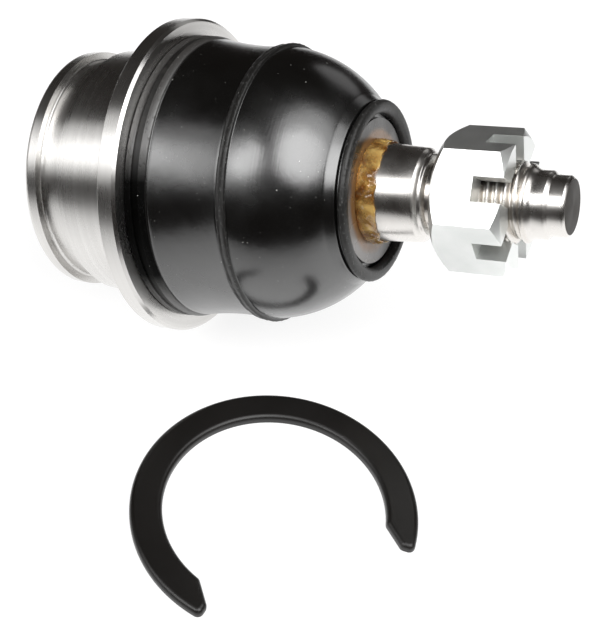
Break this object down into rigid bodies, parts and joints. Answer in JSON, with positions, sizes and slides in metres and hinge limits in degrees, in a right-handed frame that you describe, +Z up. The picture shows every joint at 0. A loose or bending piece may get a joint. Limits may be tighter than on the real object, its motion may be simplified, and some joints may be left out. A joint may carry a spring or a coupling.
{
  "type": "suspension ball joint",
  "caption": "Press-in suspension ball joint with flanged steel housing, rubber dust boot, tapered stud, slotted hex nut and a separate snap ring.",
  "frame": {"origin": "middle of the bounding box, on the floor that the joint and its snap ring lie on", "axes": "+Z up; +X along the stud's direction over the floor, with the stud raised 18.7 degrees above it; the snap ring lies towards -Y"},
  "size_m": [0.0982, 0.0976, 0.0596],
  "materials": {
    "housing": "turned and bright, with fine lathe lines",
    "upper_bearing": "plain moulded bearing plastic",
    "lower_bearing": "plain moulded bearing plastic",
    "preload_spring": "spring steel",
    "cover_plate": "pressed steel",
    "ball_stud": "ground and polished steel",
    "dust_boot": "glossy black rubber with a few specks",
    "boot_clamp_ring": "black coated spring steel",
    "boot_neck_ring": "plain steel, moulded in",
    "boot_washer": "grey, smooth, half gloss",
    "grease_bead": "amber, wet and half clear",
    "castle_nut": "bright zinc",
    "snap_ring": "black oxide with a soft sheen"
  },
  "bodies": {
    "housing": {"housing": "housing", "upper_bearing": "upper_bearing", "lower_bearing": "lower_bearing", "preload_spring": "preload_spring", "cover_plate": "cover_plate", "boot_clamp_ring": "boot_clamp_ring", "snap_ring": "snap_ring"},
    "boot": {"dust_boot": "dust_boot"},
    "boot_mouth": {"boot_neck_ring": "boot_neck_ring", "boot_washer": "boot_washer", "grease_bead": "grease_bead"},
    "stud": {"ball_stud": "ball_stud"},
    "nut": {"castle_nut": "castle_nut"}
  },
  "joints": [
    {"name": "swing_lengthwise", "type": "hinge", "parent": "housing", "child": "boot", "pos_m": [-0.02509, 0.01994, 0.02661], "axis": [0, 1, 0], "range_deg": [-18, 18], "deforming": ["dust_boot"]},
    {"name": "swing_sideways", "type": "hinge", "parent": "boot", "child": "boot_mouth", "pos_m": [-0.02509, 0.01994, 0.02661], "axis": [-0.3201, 0, 0.9474], "range_deg": [-18, 18]},
    {"name": "stud_turn", "type": "hinge", "parent": "boot_mouth", "child": "stud", "pos_m": [-0.02509, 0.01994, 0.02661], "axis": [0.9474, 0, 0.3201], "continuous": true},
    {"name": "nut_turn", "type": "hinge", "parent": "stud", "child": "nut", "pos_m": [0.03327, 0.01994, 0.04633], "axis": [0.9474, 0, 0.3201], "continuous": true}
  ]
}
